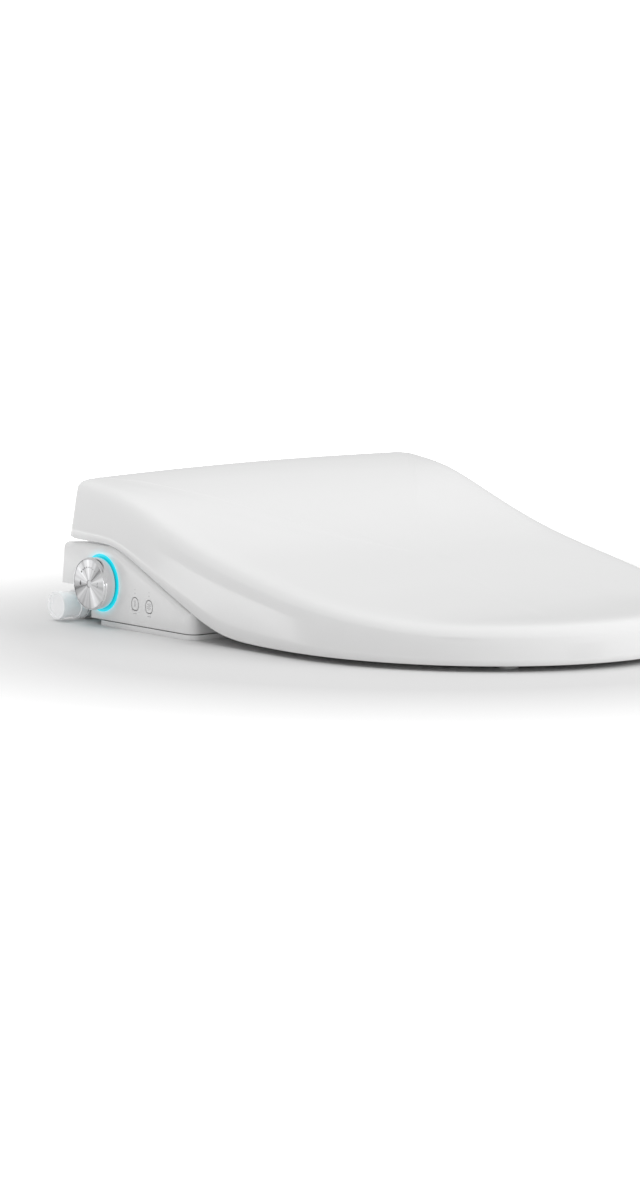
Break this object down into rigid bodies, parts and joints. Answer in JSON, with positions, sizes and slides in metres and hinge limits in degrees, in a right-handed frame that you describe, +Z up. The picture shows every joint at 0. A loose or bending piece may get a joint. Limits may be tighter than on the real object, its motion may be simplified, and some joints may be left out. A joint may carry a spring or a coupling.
{
  "type": "electric bidet seat",
  "caption": "Heated bidet toilet seat with soft-close lid, side control knob, sliding wash nozzles, dryer and filter, clipped to a bolted base plate.",
  "frame": {"origin": "midway between the two fixing bolts, in the plane of the pan's rim", "axes": "+Z up, -Y towards the front edge of the lid, -X towards the control knob"},
  "size_m": [0.392, 0.504, 0.1782],
  "materials": {
    "plastic": "gloss white moulded plastic",
    "plastic_matte": "satin white moulded plastic",
    "clear_cap": "milky translucent plastic",
    "grey_plastic": "satin grey plastic",
    "dark_plastic": "satin black plastic",
    "metal": "brushed stainless steel",
    "knob_face": "spun aluminium",
    "knob_rim": "polished chrome",
    "knob_side": "satin silver",
    "glow": "lit translucent cyan",
    "board": "green solder mask",
    "copper": "enamelled copper winding",
    "foil": "aluminium foil",
    "soft_pad": "soft light grey elastomer",
    "seal": "black elastomer",
    "hose": "milky silicone hose",
    "brass": "nickel-plated brass"
  },
  "bodies": {
    "mount": {"mounting_plate": "plastic_matte", "bolt_clamp_plates": "grey_plastic", "mounting_bolts": "metal"},
    "unit": {"base_tray": "plastic_matte", "top_cover": "plastic", "front_fascia": "plastic", "control_panel": "plastic", "left_panel": "plastic", "case_screws": "metal", "inlet_fitting": "brass", "filter_chamber": "plastic_matte", "solenoid_valve": "grey_plastic", "valve_coil": "copper", "heater_tank": "grey_plastic", "heater_lid": "plastic_matte", "thermal_cutout": "dark_plastic", "diverter_valve": "grey_plastic", "diverter_motor": "metal", "water_hoses": "hose", "nozzle_carriage": "grey_plastic", "nozzle_motors": "metal", "fan_scroll": "grey_plastic", "fan_motor": "metal", "dryer_duct": "grey_plastic", "dryer_heater": "foil", "main_board": "board", "power_module": "dark_plastic", "cable_gland": "dark_plastic", "rotary_encoder": "dark_plastic", "light_ring": "glow", "touch_board": "board", "damper_barrels": "dark_plastic", "hinge_shafts": "metal", "sensor_window": "dark_plastic"},
    "seat": {"seat_top_shell": "plastic", "seat_bottom_shell": "plastic", "seat_heater": "foil", "seat_bumpers": "soft_pad"},
    "lid": {"lid_shell": "plastic", "lid_hinge_lugs": "plastic_matte", "lid_bumpers": "soft_pad"},
    "knob_stem": {"encoder_plunger": "metal"},
    "knob": {"knob_disc": "knob_face", "knob_bezel": "knob_rim", "knob_skirt": "knob_side", "knob_shaft": "metal"},
    "filter_plug": {"filter_cap": "clear_cap", "filter_seal": "seal", "inlet_strainer": "metal"},
    "solenoid_core": {"valve_plunger": "metal"},
    "rear_wand": {"rear_nozzle": "plastic", "rear_nozzle_tip": "metal"},
    "front_wand": {"front_nozzle": "plastic", "front_nozzle_tip": "metal"},
    "rear_gear": {"rear_pinion": "plastic_matte"},
    "front_gear": {"front_pinion": "plastic_matte"},
    "impeller": {"fan_impeller": "dark_plastic"},
    "air_flap": {"dryer_flap": "plastic"},
    "cartridge": {"deodoriser_cartridge": "plastic_matte"},
    "release": {"release_button": "plastic_matte"}
  },
  "joints": [
    {"name": "unit_release", "type": "slide", "parent": "mount", "child": "unit", "axis": [0, -1, 0], "range_m": [0, 0.028]},
    {"name": "seat_hinge", "type": "hinge", "parent": "unit", "child": "seat", "pos_m": [0, 0.051, 0.096], "axis": [-1, 0, 0], "range_deg": [0, 97]},
    {"name": "lid_hinge", "type": "hinge", "parent": "seat", "child": "lid", "pos_m": [0, 0.051, 0.096], "axis": [1, 0, 0], "range_deg": [-100, 0]},
    {"name": "knob_push", "type": "slide", "parent": "unit", "child": "knob_stem", "axis": [1, 0, 0], "range_m": [0, 0.0015], "stiffness_N_per_m": 1500, "springref_m": -0.0005},
    {"name": "knob_turn", "type": "hinge", "parent": "knob_stem", "child": "knob", "pos_m": [-0.18, 0.022, 0.0345], "axis": [-1, 0, 0], "range_deg": [-60, 60]},
    {"name": "filter_turn", "type": "hinge", "parent": "unit", "child": "filter_plug", "pos_m": [-0.18, 0.063, 0.013], "axis": [-1, 0, 0], "range_deg": [0, 90]},
    {"name": "solenoid_lift", "type": "slide", "parent": "unit", "child": "solenoid_core", "axis": [0, 0, 1], "range_m": [0, 0.003], "stiffness_N_per_m": 300, "springref_m": -0.001},
    {"name": "rear_nozzle_slide", "type": "slide", "parent": "unit", "child": "rear_wand", "axis": [0, -0.891, -0.454], "range_m": [0, 0.09]},
    {"name": "front_nozzle_slide", "type": "slide", "parent": "unit", "child": "front_wand", "axis": [0, -0.891, -0.454], "range_m": [0, 0.09]},
    {"name": "rear_pinion_spin", "type": "hinge", "parent": "unit", "child": "rear_gear", "pos_m": [-0.014, -0.06152, 0.0298], "axis": [-1, 0, 0], "range_deg": [0, 740]},
    {"name": "front_pinion_spin", "type": "hinge", "parent": "unit", "child": "front_gear", "pos_m": [0.014, -0.06152, 0.0298], "axis": [-1, 0, 0], "range_deg": [0, 740]},
    {"name": "fan_spin", "type": "hinge", "parent": "unit", "child": "impeller", "pos_m": [0.054, 0.006, 0.046], "axis": [1, 0, 0], "continuous": true},
    {"name": "flap_swing", "type": "hinge", "parent": "unit", "child": "air_flap", "pos_m": [0.056, -0.0871, 0.0262], "axis": [-1, 0, 0], "range_deg": [0, 38]},
    {"name": "cartridge_slide", "type": "slide", "parent": "unit", "child": "cartridge", "axis": [1, 0, 0], "range_m": [0, 0.06]},
    {"name": "release_push", "type": "slide", "parent": "unit", "child": "release", "axis": [-1, 0, 0], "range_m": [0, 0.003], "stiffness_N_per_m": 700, "springref_m": -0.001}
  ],
  "couplings": [
    {"joint": "rear_pinion_spin", "follows": "rear_nozzle_slide", "rad_per_m": 142.86},
    {"joint": "front_pinion_spin", "follows": "front_nozzle_slide", "rad_per_m": 142.86}
  ]
}
